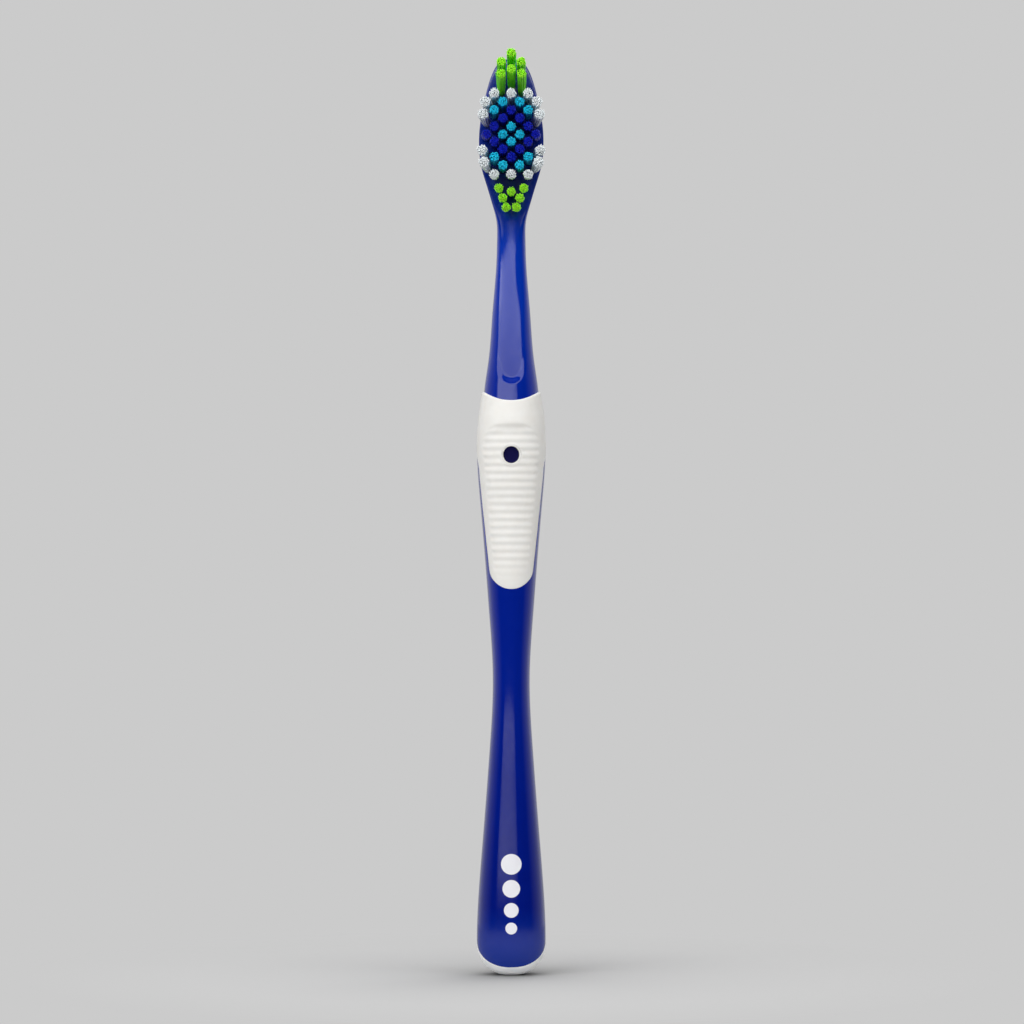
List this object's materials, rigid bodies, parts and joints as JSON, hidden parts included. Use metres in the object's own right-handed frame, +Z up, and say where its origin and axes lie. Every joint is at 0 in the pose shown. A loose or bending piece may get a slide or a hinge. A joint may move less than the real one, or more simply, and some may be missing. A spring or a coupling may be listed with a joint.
{
  "type": "manual toothbrush",
  "caption": "Adult manual toothbrush: glossy hard handle with waist and slim neck, soft ribbed thumb grip and soft end, oval head with leaning bristle tufts on metal anchors.",
  "frame": {"origin": "middle of the small flat at the butt of the handle, on which the brush stands", "axes": "+Z up the length of the brush to the head, bristles face -Y, +X across to the right seen from the front"},
  "size_m": [0.0142, 0.0201, 0.1892],
  "materials": {
    "blue_plastic": "glossy moulded royal blue plastic",
    "white_soft": "satin white thermoplastic elastomer",
    "anchor_brass": "plain stamped brass",
    "white_nylon": "white nylon filament",
    "green_nylon": "bright green nylon filament",
    "light_blue_nylon": "light blue nylon filament",
    "dark_blue_nylon": "dark blue nylon filament"
  },
  "bodies": {
    "root": {"handle": "blue_plastic", "thumb_grip": "white_soft", "soft_end": "white_soft", "tuft_anchors": "anchor_brass", "toe_tuft_1": "green_nylon", "toe_tuft_2": "green_nylon", "toe_tuft_3": "green_nylon", "toe_tuft_4": "green_nylon", "toe_tuft_5": "green_nylon", "toe_tuft_6": "green_nylon", "toe_row_tuft_1": "white_nylon", "toe_row_tuft_2": "white_nylon", "toe_row_tuft_3": "white_nylon", "cross_tuft_1": "light_blue_nylon", "cross_tuft_2": "light_blue_nylon", "cross_tuft_3": "light_blue_nylon", "cross_tuft_4": "light_blue_nylon", "cross_tuft_5": "light_blue_nylon", "cross_tuft_6": "light_blue_nylon", "cross_tuft_7": "light_blue_nylon", "cross_tuft_8": "light_blue_nylon", "ring_tuft_1": "dark_blue_nylon", "ring_tuft_2": "dark_blue_nylon", "ring_tuft_3": "dark_blue_nylon", "ring_tuft_4": "dark_blue_nylon", "ring_tuft_5": "dark_blue_nylon", "ring_tuft_6": "dark_blue_nylon", "ring_tuft_7": "dark_blue_nylon", "ring_tuft_8": "dark_blue_nylon", "ring_tuft_9": "dark_blue_nylon", "ring_tuft_10": "dark_blue_nylon", "ring_tuft_11": "dark_blue_nylon", "ring_tuft_12": "dark_blue_nylon", "side_tuft_1": "white_nylon", "side_tuft_2": "white_nylon", "side_tuft_3": "white_nylon", "side_tuft_4": "white_nylon", "side_tuft_5": "white_nylon", "side_tuft_6": "white_nylon", "side_tuft_7": "white_nylon", "side_tuft_8": "white_nylon", "centre_tuft_1": "light_blue_nylon", "centre_tuft_2": "light_blue_nylon", "centre_tuft_3": "light_blue_nylon", "centre_tuft_4": "light_blue_nylon", "heel_row_tuft_1": "white_nylon", "heel_row_tuft_2": "white_nylon", "heel_row_tuft_3": "white_nylon", "heel_tuft_1": "green_nylon", "heel_tuft_2": "green_nylon", "heel_tuft_3": "green_nylon", "heel_tuft_4": "green_nylon", "heel_tuft_5": "green_nylon", "heel_tuft_6": "green_nylon", "heel_tuft_7": "green_nylon"}
  },
  "joints": []
}
